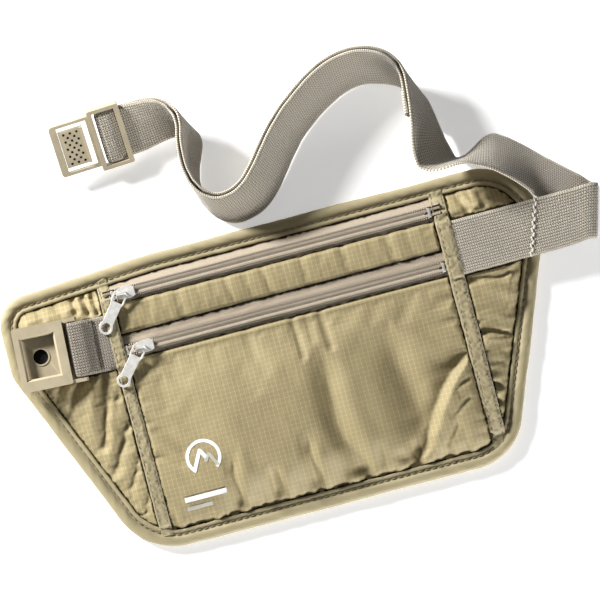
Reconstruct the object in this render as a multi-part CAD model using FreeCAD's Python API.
import FreeCAD, Part
import math
import os

# Waist money pouch lying on its back, with its elastic waist strap laid out beyond its
# top (+Y) edge.  +X runs along the pouch, +Y up the pouch, +Z out of its front.
# Left is -X.  Origin: middle of the pouch on the back face.  Millimetres.

os.makedirs("parts", exist_ok=True)
V = FreeCAD.Vector

# ---------------------------------------------------------------- shared sizes
BIG = 200.0             # reaches past the pouch in X and Y
CLEAR = 0.05            # small gap between neighbouring fabrics
WEB_W = 25.0            # webbing width
WEB_T = 1.3             # webbing thickness
TUCK = 1.2              # fabric edges stop this far inside the outline
BACK_T = 1.3            # back panel thickness

BIND_W = 7.6            # visible width of the edge binding
BIND_Z = 3.2            # thickness of the bound edge
BIND_SKIN = 0.5         # binding thickness over and under the edge
BIND_WALL = 1.0         # binding thickness round the outside

STITCH_L, STITCH_PITCH, STITCH_H = 2.6, 4.2, 0.15
BIND_STITCH_IN = 5.3    # binding stitch row, from the outer edge
BIND_STITCH_W = 0.5
SEAM_STITCH_W = 0.45
TACK_COUNT, TACK_PITCH, TACK_L = 8, 3.0, 2.0

# Fabric layers, (bottom z, top z): at the bound rim, and over the middle of the pouch.
# Each layer rises from one height to the other between two offsets from the outline.
RISE_OUT, RISE_IN = 7.8, 10.0
LIFT = 1.7              # extra room for a filled front pocket
RIM = {"divider": (BACK_T, 1.6), "tape": (1.6, 1.9), "panel": (1.9, 2.3), "seam": (2.3, 2.7)}
TOP = {"divider": (2.0, 2.3), "tape": (5.9 + LIFT, 6.2 + LIFT),
       "panel": (6.2 + LIFT, 6.6 + LIFT), "seam": (6.6 + LIFT, 7.0 + LIFT)}
PANEL_Z = TOP["panel"][1]
WEB_Z = PANEL_Z + CLEAR + WEB_T / 2     # middle of webbing lying on the panels

# Pouch outline, counter-clockwise: ((corner x, corner y), corner radius)
CORNERS = [((-55.0, 66.0), 150.0), ((-127.5, 61.4), 14.0), ((-127.8, 27.0), 18.0),
           ((-88.8, -66.3), 30.0), ((84.7, -66.2), 26.0), ((136.3, 66.0), 28.0)]
MIN_RADIUS = 2.0


# -------------------------------------------------------------------- helpers
def box(x0, x1, y0, y1, z0, z1):
    return Part.makeBox(x1 - x0, y1 - y0, z1 - z0, V(x0, y0, z0))


def crop(shape, x0, x1, y0, y1):
    """Part of a pouch layer inside a rectangle in plan."""
    return shape.common(box(x0, x1, y0, y1, 0, 20))


def fuse(shapes):
    return shapes[0].fuse(shapes[1:]).removeSplitter()


def polygon(points, z):
    """Closed wire through (x, y) points at height z."""
    return Part.makePolygon([V(x, y, z) for x, y in points + points[:1]])


def plate(points, z0, z1):
    """Prism over an (x, y) outline."""
    return Part.Face(polygon(points, z0)).extrude(V(0, 0, z1 - z0))


def slab(points, y0, y1):
    """Prism along Y over an (x, z) outline."""
    wire = Part.makePolygon([V(x, y0, z) for x, z in points + points[:1]])
    return Part.Face(wire).extrude(V(0, y1 - y0, 0))


def ribbon(centres, thickness, y0, y1):
    """Strip of even thickness along Y, following (x, z) centre points."""
    upper, lower = [], []
    for i, (x, z) in enumerate(centres):
        before = centres[max(i - 1, 0)]
        after = centres[min(i + 1, len(centres) - 1)]
        run, rise = after[0] - before[0], after[1] - before[1]
        length = math.hypot(run, rise)
        dx, dz = -rise / length * thickness / 2, run / length * thickness / 2
        upper.append((x + dx, z + dz))
        lower.append((x - dx, z - dz))
    return slab(upper + lower[::-1], y0, y1)


def upright_edges(solid):
    """Edges parallel to Z."""
    found = []
    for edge in solid.Edges:
        a, b = edge.Vertexes[0], edge.Vertexes[1]
        if abs(a.X - b.X) < 1e-6 and abs(a.Y - b.Y) < 1e-6:
            found.append(edge)
    return found


def unit(vector):
    return vector * (1.0 / vector.Length)


def stitch_row(points, width, z):
    """Raised thread dashes along a run of (x, y) points."""
    dashes = []
    run = 0.0
    next_dash = STITCH_PITCH / 2
    for (xa, ya), (xb, yb) in zip(points, points[1:]):
        length = math.hypot(xb - xa, yb - ya)
        angle = math.degrees(math.atan2(yb - ya, xb - xa))
        while next_dash <= run + length:
            part = (next_dash - run) / length
            dash = box(-STITCH_L / 2, STITCH_L / 2, -width / 2, width / 2, z, z + STITCH_H)
            dash.rotate(V(0, 0, 0), V(0, 0, 1), angle)
            dash.translate(V(xa + (xb - xa) * part, ya + (yb - ya) * part, 0))
            dashes.append(dash)
            next_dash += STITCH_PITCH
        run += length
    return dashes


def bartack(x0, x1, y0, z):
    """Row of thread dashes along Y, starting at y0."""
    dashes = []
    for i in range(TACK_COUNT):
        y = y0 + i * TACK_PITCH
        dashes.append(box(x0, x1, y, y + TACK_L, z, z + STITCH_H))
    return Part.makeCompound(dashes)


def save(name, shape):
    solids = shape.Solids
    if not solids:
        raise RuntimeError("no solid in " + name)
    out = solids[0] if len(solids) == 1 else Part.makeCompound(solids)
    out.exportStep("parts/" + name + ".step")


# -------------------------------------------------------------- pouch outline
def inset_line(start, end, inset):
    """Point and direction of a polygon side moved inward."""
    along = unit(end - start)
    return start + V(-along.y, along.x, 0) * inset, along


def inset_corners(inset, z):
    """Corners of the outline polygon moved inward, at height z."""
    points = [V(x, y, z) for (x, y), _ in CORNERS]
    corners = []
    for i, point in enumerate(points):
        start1, along1 = inset_line(points[i - 1], point, inset)
        start2, along2 = inset_line(point, points[(i + 1) % len(points)], inset)
        distance = (start2 - start1).cross(along2).z / along1.cross(along2).z
        corners.append(start1 + along1 * distance)
    return corners


def outline_wire(inset, z):
    """Rounded outline moved inward; it has the same edge count for every inset."""
    points = inset_corners(inset, z)
    count = len(points)
    arcs = []
    for i, point in enumerate(points):
        radius = max(CORNERS[i][1] - inset, MIN_RADIUS)
        to_last = unit(points[i - 1] - point)
        to_next = unit(points[(i + 1) % count] - point)
        half = to_last.getAngle(to_next) / 2
        tangent = radius / math.tan(half)
        bisector = unit(to_last + to_next)
        middle = point + bisector * (radius / math.sin(half)) - bisector * radius
        arcs.append((point + to_last * tangent, middle, point + to_next * tangent))
    edges = []
    for i, (start, middle, end) in enumerate(arcs):
        edges.append(Part.Arc(start, middle, end).toShape())
        edges.append(Part.LineSegment(end, arcs[(i + 1) % count][0]).toShape())
    return Part.Wire(edges)


def prism(inset, z0, z1):
    return Part.Face(outline_wire(inset, z0)).extrude(V(0, 0, z1 - z0))


def under(rim_z, top_z):
    """Everything below a fabric surface that is flat at the rim, rises, and is
    flat again over the middle of the pouch."""
    low = prism(TUCK, -1.0, rim_z)
    rise = Part.makeLoft([outline_wire(RISE_OUT, rim_z), outline_wire(RISE_IN, top_z)],
                         True, True)
    return low.fuse(rise)


def layer(key):
    (rim0, rim1), (top0, top1) = RIM[key], TOP[key]
    return under(rim1, top1).cut(under(rim0, top0))


panel_layer = layer("panel")
tape_layer = layer("tape")
seam_layer = layer("seam")
divider_layer = layer("divider")

# ---------------------------------------------------------------- pouch shell
SEAM_L = (-80.5, -75.0)         # x range of the left vertical seam tape
SEAM_R = (75.5, 82.5)           # x range of the right vertical seam tape
MID_L, MID_R = sum(SEAM_L) / 2, sum(SEAM_R) / 2
FRONT_X = (MID_L + CLEAR, MID_R - CLEAR)    # panels between the seams
MID_PANEL = (33.9, 47.4)        # y range
FRONT_TOP = 21.8                # y of the front panel's upper edge
TAPE_Y = {"upper": (45.4, 80.0), "lower": (19.2, 36.4)}     # zip tapes
DIVIDER_Y = 42.0                # front (+Y) face of the divider's upright wall
DIVIDER_T = 0.3
DIVIDER_GAP = 0.4               # from the lower zip tape to the divider's flange

# the outer rim of the back panel sits on the binding's bottom skin
back = prism(RISE_OUT - 0.1, 0.0, BACK_T).fuse(prism(TUCK, BIND_SKIN, BACK_T))
save("back_panel", back.removeSplitter())

save("left_side_panel", crop(panel_layer, -BIG, MID_L - CLEAR, -BIG, BIG))
save("right_side_panel", crop(panel_layer, MID_R + CLEAR, BIG, -BIG, BIG))
save("front_panel", crop(panel_layer, *FRONT_X, -BIG, FRONT_TOP))
save("middle_panel", crop(panel_layer, *FRONT_X, *MID_PANEL))


def make_divider():
    """Sheet between the rear and front compartments: it runs low up to DIVIDER_Y,
    stands up there and turns back under the middle panel, between the two zips."""
    low = crop(divider_layer, -BIG, BIG, -BIG, DIVIDER_Y)
    space = under(RIM["tape"][0], TOP["tape"][0])
    space = space.cut(under(RIM["divider"][0], TOP["divider"][0]))
    wall = crop(space, -BIG, BIG, DIVIDER_Y - DIVIDER_T, DIVIDER_Y)
    flange = crop(tape_layer, *FRONT_X, TAPE_Y["lower"][1] + DIVIDER_GAP, DIVIDER_Y)
    return low.fuse([wall, flange]).removeSplitter()


def make_binding():
    """Folded tape round the whole edge."""
    wall = prism(0.0, 0.0, BIND_Z).cut(prism(BIND_WALL, -1.0, 10.0))
    bottom = prism(0.0, 0.0, BIND_SKIN).cut(prism(BIND_W, -1.0, 10.0))
    top = prism(0.0, BIND_Z - BIND_SKIN, BIND_Z).cut(prism(BIND_W, -1.0, 10.0))
    return fuse([wall, bottom, top])


save("pocket_divider", make_divider())
save("edge_binding", make_binding())
bind_row = [(p.x, p.y) for p in outline_wire(BIND_STITCH_IN, 0.0).discretize(400)]
save("binding_stitching", Part.makeCompound(stitch_row(bind_row, BIND_STITCH_W, BIND_Z)))

# ----------------------------------------------------------------- seam tapes
LOOP_Y = (18.3, 44.6)           # gap in the left tape for the buckle loop
ROOT_Y = (20.4, 46.1)           # gap in the right tape for the strap root
BRIDGE_T = 0.4
BRIDGE_LEG = 0.5
SEAM_STITCH_IN = 0.9            # from each edge of the tape
SEAM_STITCH_Y = (-54.5, 54.0)
SEAM_STITCH_GAP = 1.5           # rows stop this far from the webbing gap


def raised_tape(x0, x1, y0, y1):
    """Seam tape with a raised bridge over the sewn-in webbing end."""
    tape = crop(seam_layer, x0, x1, -BIG, BIG)
    tape = tape.cut(box(x0 - 1, x1 + 1, y0, y1, 5, 30))
    z = WEB_Z + WEB_T / 2 + CLEAR
    leg_z = (TOP["seam"][0], z + BRIDGE_T / 2)
    bridge = box(x0, x1, y0 - BRIDGE_LEG, y1 + BRIDGE_LEG, z, z + BRIDGE_T)
    legs = [box(x0, x1, y0 - BRIDGE_LEG, y0, *leg_z),
            box(x0, x1, y1, y1 + BRIDGE_LEG, *leg_z)]
    return tape.fuse([bridge] + legs).removeSplitter()


save("left_seam_tape", raised_tape(*SEAM_L, *LOOP_Y))
save("right_seam_tape", raised_tape(*SEAM_R, *ROOT_Y))

seam_dashes = []
for (x0, x1), gap in ((SEAM_L, LOOP_Y), (SEAM_R, ROOT_Y)):
    for x in (x0 + SEAM_STITCH_IN, x1 - SEAM_STITCH_IN):
        for y0, y1 in ((SEAM_STITCH_Y[0], gap[0] - SEAM_STITCH_GAP),
                       (gap[1] + SEAM_STITCH_GAP, SEAM_STITCH_Y[1])):
            seam_dashes += stitch_row([(x, y0), (x, y1)], SEAM_STITCH_W, TOP["seam"][1])
save("seam_stitching", Part.makeCompound(seam_dashes))

# ----------------------------------------------------------------------- zips
ZIP_Y = {"upper": 51.8, "lower": 26.2}
TAPE_X = (-79.0, 80.0)
SLOT_W = 1.2                    # gap between the two rows of teeth
SLOT_END = 73.8                 # half length of the slot in the tape
COIL_END = 73.4                 # half length of the teeth
COIL_W, COIL_H, COIL_PITCH = 1.38, 1.2, 3.0
COIL_BASE = COIL_H * 0.55       # height of the strip that carries the teeth
TOOTH_L = COIL_PITCH * 0.62
TOOTH_MARGIN = 0.4              # from the strip's end to its first tooth
STOP_X = (73.5, 74.85)
STOP_HALF_W, STOP_H = 2.2, 1.5
COIL_Z = TOP["tape"][1]


def make_tapes(key):
    """Tape of one zip, slotted along its chain."""
    y = ZIP_Y[key]
    tape = crop(tape_layer, *TAPE_X, *TAPE_Y[key])
    return tape.cut(box(-SLOT_END, SLOT_END, y - SLOT_W / 2, y + SLOT_W / 2, 4, 20))


def coil_row(y0, shift):
    """Toothed strip; shift staggers its teeth along X."""
    base_z, tooth_z = COIL_Z + COIL_BASE, COIL_Z + COIL_H
    points = [(-COIL_END, COIL_Z), (COIL_END, COIL_Z), (COIL_END, base_z)]
    for i in reversed(range(int(2 * COIL_END / COIL_PITCH))):
        x0 = -COIL_END + TOOTH_MARGIN + i * COIL_PITCH + shift
        x1 = x0 + TOOTH_L
        points += [(x1, base_z), (x1, tooth_z), (x0, tooth_z), (x0, base_z)]
    points.append((-COIL_END, base_z))
    return slab(points, y0, y0 + COIL_W)


def make_stops(y):
    """Small clips across the chain at both ends of the slider's travel."""
    z = COIL_Z + 0.02
    near, far = STOP_X
    return Part.makeCompound([box(x0, x1, y - STOP_HALF_W, y + STOP_HALF_W, z, z + STOP_H)
                              for x0, x1 in ((-far, -near), (near, far))])


for key, y in ZIP_Y.items():
    save(key + "_zip_tapes", make_tapes(key))
    save(key + "_zip_coils", Part.makeCompound([
        coil_row(y - SLOT_W / 2 - COIL_W, COIL_PITCH / 2), coil_row(y + SLOT_W / 2, 0.0)]))
    save(key + "_zip_stops", make_stops(y))

# -------------------------------------------------------- sliders and pull tabs
SLIDER_X = {"upper": -68.2, "lower": -65.9}
SLIDER_L, SLIDER_W = 8.4, 5.8
# slider heights before LIFT is added
SLIDER_BOTTOM = (4.95, 5.6)
SLIDER_TOP = (7.7, 8.6)
SLIDER_FLANGE = (6.4, 7.8)
FLANGE_T = 0.6
CROWN_X = (-4.2, 0.35)
CROWN_Z = (10.52, 11.3)
CROWN_LEG = (8.6, 10.6)
PIVOT_X = -2.0                  # tab pivot, from the slider's middle
PIVOT_Z = 9.6 + LIFT

TAB_ANGLE = {"upper": 231.5, "lower": 229.2}    # degrees about Z
TAB_DROP = {"upper": 1.0, "lower": 2.0}         # degrees, far end down
TAB_T, TAB_REACH = 1.2, 16.85
SHANK_HALF, EYE_HALF = 2.5, 3.1
RING_R, RING_HOLE_R = 3.2, 2.1


def slider_plate(length, width, z0, z1):
    """Shield-shaped plate, symmetric in Y: widest towards +X, narrower at -X."""
    half = [(-length / 2, -width * 0.30), (-length / 2 + 1.2, -width * 0.42),
            (-0.5, -width / 2), (length / 2 - 1.6, -width / 2), (length / 2, -width * 0.34)]
    return plate(half + [(x, -y) for x, y in reversed(half)], z0, z1)


def make_slider_body():
    top = slider_plate(SLIDER_L, SLIDER_W, *SLIDER_TOP)
    bottom = slider_plate(SLIDER_L, SLIDER_W, *SLIDER_BOTTOM)
    post = box(1.2, 3.6, -0.4, 0.4, 5.5, 7.8)
    flange = slider_plate(SLIDER_L, SLIDER_W, *SLIDER_FLANGE)
    flange = flange.cut(slider_plate(SLIDER_L + 4, SLIDER_W - 2 * FLANGE_T, 6.0, 8.0))
    return fuse([top, bottom, post, flange])


def make_slider_crown():
    """Bridge over the slider that holds the tab: roof and two legs."""
    x0, x1 = CROWN_X
    return fuse([box(x0, x1, -0.6, 0.6, *CROWN_Z),
                 box(x0, -3.75, -0.4, 0.4, *CROWN_LEG),
                 box(-0.25, x1, -0.4, 0.4, *CROWN_LEG)])


def make_tab():
    """Flat tab along +X from its pivot at the origin: eye, shank and end ring."""
    shank = box(4.3, TAB_REACH, -SHANK_HALF, SHANK_HALF, -TAB_T / 2, TAB_T / 2)
    half = [(-0.45, -EYE_HALF + 0.9), (0.3, -EYE_HALF), (4.2, -EYE_HALF), (6.2, -SHANK_HALF)]
    head = plate(half + [(x, -y) for x, y in reversed(half)], -TAB_T / 2, TAB_T / 2)
    ring = Part.makeCylinder(RING_R, TAB_T, V(TAB_REACH, 0, -TAB_T / 2))
    tab = fuse([shank, head, ring])
    tab = tab.cut(box(0.45, 4.4, -2.35, 2.35, -2, 2))
    return tab.cut(Part.makeCylinder(RING_HOLE_R, 4, V(TAB_REACH, 0, -2)))


for key, y in ZIP_Y.items():
    for name, part in (("body", make_slider_body()), ("crown", make_slider_crown())):
        part.translate(V(SLIDER_X[key], y, LIFT))
        save(key + "_slider_" + name, part)
    tab = make_tab()
    tab.rotate(V(0, 0, 0), V(0, 1, 0), TAB_DROP[key])
    tab.rotate(V(0, 0, 0), V(0, 0, 1), TAB_ANGLE[key])
    tab.translate(V(SLIDER_X[key] + PIVOT_X, y, PIVOT_Z))
    save(key + "_pull_tab", tab)

# ------------------------------------------------------------- buckle socket
BUCKLE_W = 29.5
BUCKLE_T = 6.0
BUCKLE_BOX = 23.2               # length of the hollow box
BUCKLE_LEN = 30.5
BUCKLE_C = (-108.3, 33.0)
BUCKLE_TURN = -3.0              # degrees about Z
SOCKET_Z = PANEL_Z + 0.1
BAR_X, BAR_Z, BAR_R = 27.3, 3.0, 1.5
ARM_T = 1.7
ARM_Z = (1.0, 5.2)
NOSE_R = 3.0
# window in the upper wall: x0, x1, half width and z, all at its lower edge
WINDOW = (3.6, 18.2, 9.2, 4.1)
WINDOW_BEVEL, WINDOW_DEPTH = 1.0, 2.0
HOLE_X, HOLE_R, HOLE_RIM_R = 10.9, 3.4, 4.1


def window_wire(grow, z):
    x0, x1, half = WINDOW[0] - grow, WINDOW[1] + grow, WINDOW[2] + grow
    return polygon([(x0, -half), (x1, -half), (x1, half), (x0, half)], z)


def make_socket():
    """Local frame: mouth face at x=0, width along y, base at z=0."""
    half = BUCKLE_W / 2
    body = box(0, BUCKLE_BOX, -half, half, 0, BUCKLE_T)
    body = body.makeFillet(1.2, upright_edges(body))
    # side arms that carry the bar; their noses are rounded about the bar
    nose = Part.makeCylinder(NOSE_R, BUCKLE_W, V(BAR_X, -half, BAR_Z), V(0, 1, 0))
    arms = []
    for y0, y1 in ((-half, -half + ARM_T), (half - ARM_T, half)):
        arms.append(box(BUCKLE_BOX - 1, BAR_X, y0, y1, *ARM_Z))
        arms.append(box(BAR_X - 0.5, BAR_X + 3.5, y0, y1, *ARM_Z).common(nose))
    bar = Part.makeCylinder(BAR_R, BUCKLE_W - 1.0, V(BAR_X, -half + 0.5, BAR_Z), V(0, 1, 0))
    body = fuse([body] + arms + [bar])
    # cavity, bevelled window above it and round hole in the base
    body = body.cut(box(-1, 19.2, -12.75, 12.75, 1.5, 4.2))
    z = WINDOW[3]
    body = body.cut(Part.makeLoft(
        [window_wire(0, z), window_wire(WINDOW_BEVEL, z + WINDOW_DEPTH)], True, True))
    body = body.cut(Part.makeCylinder(HOLE_R, 3, V(HOLE_X, 0, -1)))
    rim = Part.makeCylinder(HOLE_RIM_R, 0.4, V(HOLE_X, 0, 1.4))
    rim = rim.cut(Part.makeCylinder(HOLE_R, 3, V(HOLE_X, 0, 0)))
    return body.fuse(rim).removeSplitter()


socket = make_socket()
socket.rotate(V(BUCKLE_LEN / 2, 0, 0), V(0, 0, 1), BUCKLE_TURN)
socket.translate(V(BUCKLE_C[0] - BUCKLE_LEN / 2, BUCKLE_C[1], SOCKET_Z))
save("buckle_socket", socket)

# ---------------------------------------------------- webbing loop of the socket
LOOP_HALF_W = 12.45
LAP_RISE = 1.36                 # upper run above the lower one where they are sewn


def place_at_bar(shape):
    """Turn with the socket and move from the origin to the middle of its bar."""
    shape.rotate(V(0, 0, 0), V(0, 0, 1), BUCKLE_TURN)
    turn = math.radians(BUCKLE_TURN)
    arm = BAR_X - BUCKLE_LEN / 2
    shape.translate(V(BUCKLE_C[0] + arm * math.cos(turn), BUCKLE_C[1] + arm * math.sin(turn), 0))
    return shape


def make_buckle_loop():
    """Lower run from under the seam tape, turn round the bar, short upper run."""
    bar_z = SOCKET_Z + BAR_Z
    radius = BAR_R + 0.15 + WEB_T / 2
    centres = [(19.2, WEB_Z), (6.0, WEB_Z), (2.2, bar_z - radius + 0.02)]
    for degrees in range(-78, -283, -15):
        angle = math.radians(degrees)
        centres.append((radius * math.cos(angle), bar_z + radius * math.sin(angle)))
    centres += [(2.2, bar_z + radius - 0.35), (4.2, bar_z + 0.9),
                (6.0, WEB_Z + 1.75), (8.2, WEB_Z + LAP_RISE)]
    return ribbon(centres, WEB_T, -LOOP_HALF_W, LOOP_HALF_W)


save("buckle_loop", place_at_bar(make_buckle_loop()))
save("loop_bartack", place_at_bar(bartack(7.3, 7.7, -11.5, WEB_Z + LAP_RISE + WEB_T / 2 + 0.2)))

# ---------------------------------------------------------------------- strap
# Flat on the pouch at its root, folded beyond the right edge, then standing on its
# second edge as it snakes past the pouch's top edge.
# Root stations: first edge x, y, second edge x, y, rise above WEB_Z
ROOT = [
    (78.2, 20.7, 78.2, 45.8, 0.0),
    (96.0, 20.7, 96.0, 45.9, 0.0),
    (108.0, 20.8, 108.0, 45.9, 0.1),
    (118.0, 20.9, 118.6, 46.0, 0.4),
    (127.0, 21.0, 129.6, 46.1, 0.8),
    (135.5, 21.4, 140.6, 46.2, 1.1),
]
# Fold: axis points at the first and second edge, bend radius, angles above the XY plane
FOLD_Z = 8.0
FOLD_FIRST, FOLD_SECOND = V(142.4, 21.9, FOLD_Z), V(149.3, 46.4, FOLD_Z)
FOLD_R = 2.2
FOLD_ANGLES = (80, 50, 20, -10, -40, -70)
# Standing stations: first (upper) edge x, y, z, second (lower) edge x, y, z
BACK = [
    (138.3, 28.2, 5.6, 144.4, 51.6, 5.4),
    (134.0, 34.4, 5.6, 139.3, 56.0, 4.6),
    (129.6, 40.1, 5.8, 134.3, 60.6, 3.2),
    (125.6, 45.2, 7.2, 129.6, 65.6, 1.8),
    (122.4, 50.4, 10.4, 125.5, 70.0, 0.8),
    (119.0, 55.2, 13.4, 121.6, 73.8, 0.6),
    (115.3, 59.2, 16.2, 117.8, 76.8, 0.6),
    (111.8, 62.0, 18.4, 114.6, 78.8, 0.6),
    (108.0, 64.4, 19.8, 111.8, 79.8, 0.6),
    (104.2, 66.2, 21.0, 108.4, 79.4, 0.6),
    (100.4, 67.6, 22.4, 104.8, 77.6, 0.6),
    (96.9, 68.8, 23.8, 100.9, 74.9, 0.6),
    (93.5, 69.6, 24.9, 97.1, 72.8, 0.6),
    (89.5, 69.8, 25.2, 93.7, 72.4, 0.6),
    (84.5, 69.4, 23.9, 92.5, 73.2, 0.6),
    (79.0, 69.8, 21.0, 91.9, 74.6, 0.6),
    (75.0, 72.4, 19.2, 91.4, 76.6, 0.6),
    (73.8, 78.0, 19.2, 90.7, 79.4, 0.6),
    (74.3, 84.1, 19.8, 89.9, 82.4, 0.6),
    (76.1, 92.6, 20.6, 89.2, 86.4, 0.6),
    (77.5, 101.6, 19.8, 88.4, 91.2, 0.6),
    (78.4, 109.4, 18.4, 87.6, 96.2, 0.6),
    (78.8, 116.3, 17.0, 86.4, 100.9, 0.6),
    (78.0, 121.1, 17.2, 84.0, 105.0, 0.6),
    (75.7, 125.3, 18.6, 80.0, 109.4, 0.6),
    (71.9, 128.8, 19.8, 74.4, 113.3, 0.6),
    (67.4, 131.2, 20.2, 68.5, 115.7, 0.6),
    (62.1, 132.6, 20.2, 62.7, 117.1, 0.6),
    (56.1, 133.0, 20.0, 56.9, 117.2, 0.6),
    (49.8, 132.2, 19.6, 51.5, 116.0, 0.6),
    (43.2, 130.2, 19.4, 45.9, 113.6, 0.6),
    (35.7, 126.5, 19.2, 39.3, 109.9, 0.6),
    (27.1, 120.8, 19.1, 32.2, 105.0, 0.6),
    (18.8, 114.2, 19.2, 25.5, 99.4, 0.6),
    (11.9, 107.3, 19.2, 19.5, 92.8, 0.6),
    (6.2, 100.3, 19.2, 14.4, 86.2, 0.6),
    (0.6, 93.4, 19.3, 9.4, 80.0, 0.6),
    (-4.9, 88.0, 19.5, 3.8, 75.0, 0.6),
    (-11.1, 84.9, 19.8, -3.4, 71.8, 0.6),
    (-17.2, 84.9, 20.2, -11.0, 71.3, 0.6),
    (-22.0, 88.2, 20.9, -17.3, 75.0, 0.6),
    (-25.3, 93.3, 22.0, -21.4, 81.6, 0.6),
    (-26.9, 99.9, 22.9, -23.0, 89.6, 0.6),
    (-27.0, 106.9, 22.8, -21.6, 97.5, 0.6),
    (-26.3, 113.4, 22.2, -19.2, 103.8, 0.6),
    (-24.9, 119.6, 21.2, -17.6, 108.5, 0.7),
    (-25.2, 125.6, 19.2, -18.0, 112.2, 0.9),
    (-27.6, 130.0, 17.2, -21.6, 114.6, 1.3),
    (-31.6, 133.0, 15.4, -27.4, 115.6, 1.8),
    (-36.6, 134.6, 13.9, -34.5, 114.6, 2.4),
    (-41.6, 134.9, 12.9, -40.3, 113.2, 2.9),
    (-46.4, 134.7, 12.4, -45.4, 112.2, 3.2),
]
FLOOR = 0.15            # lowest height allowed for a strap edge, before smoothing
LAYER = WEB_T + 0.9     # spacing of the two layers where the strap is doubled
LIFT_FROM = 2           # first BACK station that may be raised
DOUBLED_FROM = 18       # first BACK station checked for both layers
RETURN_TRIM = 0.3       # the second layer is narrower by this at each edge
GAP = 3.0               # half the clear length at each flexing place
END_GAP = 1.0           # clear length at the plug end
MERGE = 1.5             # stations closer than this to a section's end are left out


def station_normal(path, i):
    """Unit normal of the webbing at a station, from its two neighbours."""
    before, after = path[max(i - 1, 0)], path[min(i + 1, len(path) - 1)]
    along = (after[0] + after[1]) / 2 - (before[0] + before[1]) / 2
    return unit(unit(along).cross(unit(path[i][1] - path[i][0])))


def lift(path):
    """Raise the standing stations so that neither layer goes below the ground,
    and smooth the rise along the run."""
    def window(values, i):
        return values[max(0, i - 2):i + 3]

    count = len(path)
    start = count - len(BACK)
    need = [0.0] * count
    for i in range(start, count):
        z = path[i][1].z
        normal = station_normal(path, i)
        half = abs(normal.z) * WEB_T / 2
        lowest = z - half
        if i >= start + DOUBLED_FROM:
            lowest = min(lowest, z + normal.z * LAYER - half)
        need[i] = max(0.0, FLOOR - lowest)
    wide = [max(window(need, i)) for i in range(count)]
    raised = list(path)
    for i in range(start + LIFT_FROM, count):
        near = window(wide, i)
        rise = V(0, 0, max(sum(near) / len(near), need[i]))
        first, second, normal = path[i]
        raised[i] = (first + rise, second + rise, normal)
    return raised


def build_path():
    """(first edge, second edge, normal) at each station from the sewn root."""
    # None stands for a normal that is worked out after lifting
    path = [(V(x1, y1, WEB_Z + rise), V(x2, y2, WEB_Z + rise), None)
            for x1, y1, x2, y2, rise in ROOT]
    across = FOLD_SECOND - FOLD_FIRST
    outward = unit(V(across.y, -across.x, 0))
    for degrees in FOLD_ANGLES:
        angle = math.radians(degrees)
        normal = outward * math.cos(angle) + V(0, 0, math.sin(angle))
        path.append((FOLD_FIRST + normal * FOLD_R, FOLD_SECOND + normal * FOLD_R, normal))
    path += [(V(*row[:3]), V(*row[3:]), None) for row in BACK]
    path = lift(path)
    return [(first, second, normal or station_normal(path, i))
            for i, (first, second, normal) in enumerate(path)]


PATH = build_path()
ARC = [0.0]             # length along the strap's middle at each station
for last, this in zip(PATH, PATH[1:]):
    ARC.append(ARC[-1] + ((this[0] + this[1]) / 2 - (last[0] + last[1]) / 2).Length)


def station_at(s):
    """Interpolated (first, second, normal) at arc length s."""
    i = 0
    while i < len(ARC) - 2 and ARC[i + 1] < s:
        i += 1
    part = (s - ARC[i]) / (ARC[i + 1] - ARC[i])
    first, second, normal = [a * (1 - part) + b * part for a, b in zip(PATH[i], PATH[i + 1])]
    return first, second, unit(normal)


def strap(s0, s1, offset=0.0, trim=0.0):
    """Webbing from s0 to s1, moved along its normal and trimmed at each edge."""
    inner = [PATH[i] for i in range(len(ARC)) if s0 + MERGE < ARC[i] < s1 - MERGE]
    wires = []
    for first, second, normal in [station_at(s0)] + inner + [station_at(s1)]:
        inward = unit(second - first) * trim
        first, second = first + inward, second - inward
        low, high = normal * (offset - WEB_T / 2), normal * (offset + WEB_T / 2)
        corners = [first + low, second + low, second + high, first + high]
        wires.append(Part.makePolygon(corners + corners[:1]))
    solid = Part.makeLoft(wires, True, True)
    # a loft can come out inside out
    if solid.Volume < 0:
        solid.reverse()
    return solid


def arc_near(x, y):
    """Arc length of the station whose first edge is nearest to (x, y)."""
    return ARC[min(range(len(PATH)),
                   key=lambda i: (PATH[i][0].x - x) ** 2 + (PATH[i][0].y - y) ** 2)]


S_NECK = arc_near(93.5, 69.6)
S_TOP = arc_near(62.1, 132.6)
S_LOW = arc_near(-17.2, 84.9)
S_BEND = arc_near(-27.0, 106.9)
S_HEM = arc_near(77.5, 101.6)
SECTIONS = [(S_NECK + GAP, S_TOP - GAP), (S_TOP + GAP, S_LOW - GAP),
            (S_LOW + GAP, S_BEND - GAP), (S_BEND + GAP, ARC[-1] - END_GAP)]

save("strap_root", strap(0.0, S_NECK - GAP))
for number, (s0, s1) in enumerate(SECTIONS, 1):
    save("strap_section_%d" % number, strap(s0, s1))
    # the second layer starts just past the hem
    return_s0 = S_HEM + 6.0 if number == 1 else s0
    save("strap_return_%d" % number, strap(return_s0, s1, LAYER, RETURN_TRIM))
save("strap_end_hem", strap(S_HEM - 3.0, S_HEM + 5.6, LAYER, RETURN_TRIM))
save("strap_bartack", bartack(112.8, 113.3, 21.8, WEB_Z + WEB_T / 2 + 0.35))

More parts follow.
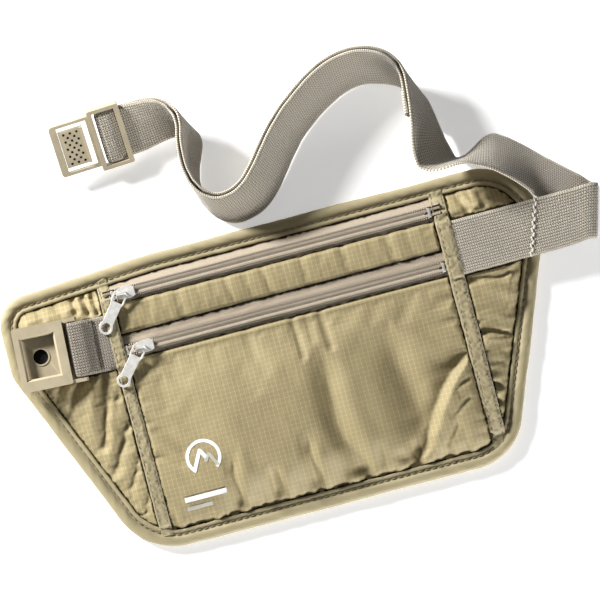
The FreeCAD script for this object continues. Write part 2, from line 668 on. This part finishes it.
# ----------------------------------------------------------------------- plug
PLUG_W, PLUG_T = 25.0, 2.2      # insert
PLUG_BODY, PLUG_BODY_T = 15.0, 4.5
PLUG_LEN = 33.5
PLUG_HEADING = V(-0.996, -0.087, 0.0)
PLUG_RAISE = 1.6                # body above the main strap layer, which enters it low
PLUG_AHEAD = 3.6                # local origin beyond the strap's last station
INSERT_END = 3.4                # solid end of the insert
INSERT_WINDOW = 13.8            # length of its opening
TONGUE_L, TONGUE_HALF_W, TONGUE_GAP = 11.6, 8.9, 0.15
DIMPLE_R, DIMPLE_X_PITCH, DIMPLE_Y_PITCH, DIMPLE_ROWS = 0.55, 3.1, 1.8, 9
PLUG_LOOP_T = 1.2
# centre line of the webbing through the plug, (x, z) in the plug's frame
PLUG_LOOP = [(-2.0, -1.6), (10.2, -1.6), (11.0, -1.2), (11.45, -0.2), (11.0, 0.85),
             (10.2, 1.28), (5.6, 1.28), (3.6, 0.45), (2.2, -0.1), (-2.0, -0.1)]


def plug_matrix():
    """Local frame: x towards the plug's free end, y across, z out of its upper face."""
    first, second, _ = PATH[-1]
    across = unit(second - first)
    ahead = unit(PLUG_HEADING)
    ahead = unit(ahead - across * ahead.dot(across))
    normal = ahead.cross(across)
    origin = (first + second) / 2 + normal * PLUG_RAISE + ahead * PLUG_AHEAD
    return FreeCAD.Matrix(ahead.x, across.x, normal.x, origin.x,
                          ahead.y, across.y, normal.y, origin.y,
                          ahead.z, across.z, normal.z, origin.z, 0, 0, 0, 1)


def make_plug():
    half = BUCKLE_W / 2
    body = box(0, PLUG_BODY, -half, half, -PLUG_BODY_T / 2, PLUG_BODY_T / 2)
    body = body.makeFillet(1.0, upright_edges(body))
    # opening through the body, then the webbing's way in; a bar crosses the opening
    body = body.cut(box(2.4, 12.8, -13.0, 13.0, -3, 3))
    body = body.cut(box(-1, 2.5, -13.0, 13.0, -3, 0.75))
    bar = box(6.2, 9.4, -13.2, 13.2, -0.85, 0.55)
    insert = box(PLUG_BODY - 0.5, PLUG_LEN, -PLUG_W / 2, PLUG_W / 2, -PLUG_T / 2, PLUG_T / 2)
    tip = [edge for edge in upright_edges(insert) if edge.Vertexes[0].X > PLUG_LEN - 1]
    insert = insert.makeFillet(1.6, tip)
    x1 = PLUG_LEN - INSERT_END
    insert = insert.cut(box(x1 - INSERT_WINDOW, x1, -11.0, 11.0, -3, 3))
    return fuse([body, bar, insert])


def make_tongue():
    """Tongue inside the insert: raised lip towards the body, staggered blind dimples."""
    x1 = PLUG_LEN - INSERT_END - TONGUE_GAP
    x0 = x1 - TONGUE_L
    tongue = fuse([box(x0, x1, -TONGUE_HALF_W, TONGUE_HALF_W, -0.9, 0.9),
                   box(x0, x0 + 1.6, -TONGUE_HALF_W, TONGUE_HALF_W, 0.5, 1.7)])
    dimples = []
    for row in range(DIMPLE_ROWS):
        y = (row - DIMPLE_ROWS // 2) * DIMPLE_Y_PITCH
        for step in ((-1, 0, 1) if row % 2 == 0 else (-0.5, 0.5)):
            x = x0 + 6.1 + step * DIMPLE_X_PITCH
            dimples.append(Part.makeCylinder(DIMPLE_R, 1.0, V(x, y, 0.3)))
    return tongue.cut(Part.makeCompound(dimples))


plug_place = plug_matrix()
save("buckle_plug", make_plug().transformed(plug_place))
save("latch_tongue", make_tongue().transformed(plug_place))
# under the bar, round its far side and back over it
plug_loop = ribbon(PLUG_LOOP, PLUG_LOOP_T, -WEB_W / 2, WEB_W / 2)
save("plug_webbing_loop", plug_loop.transformed(plug_place))
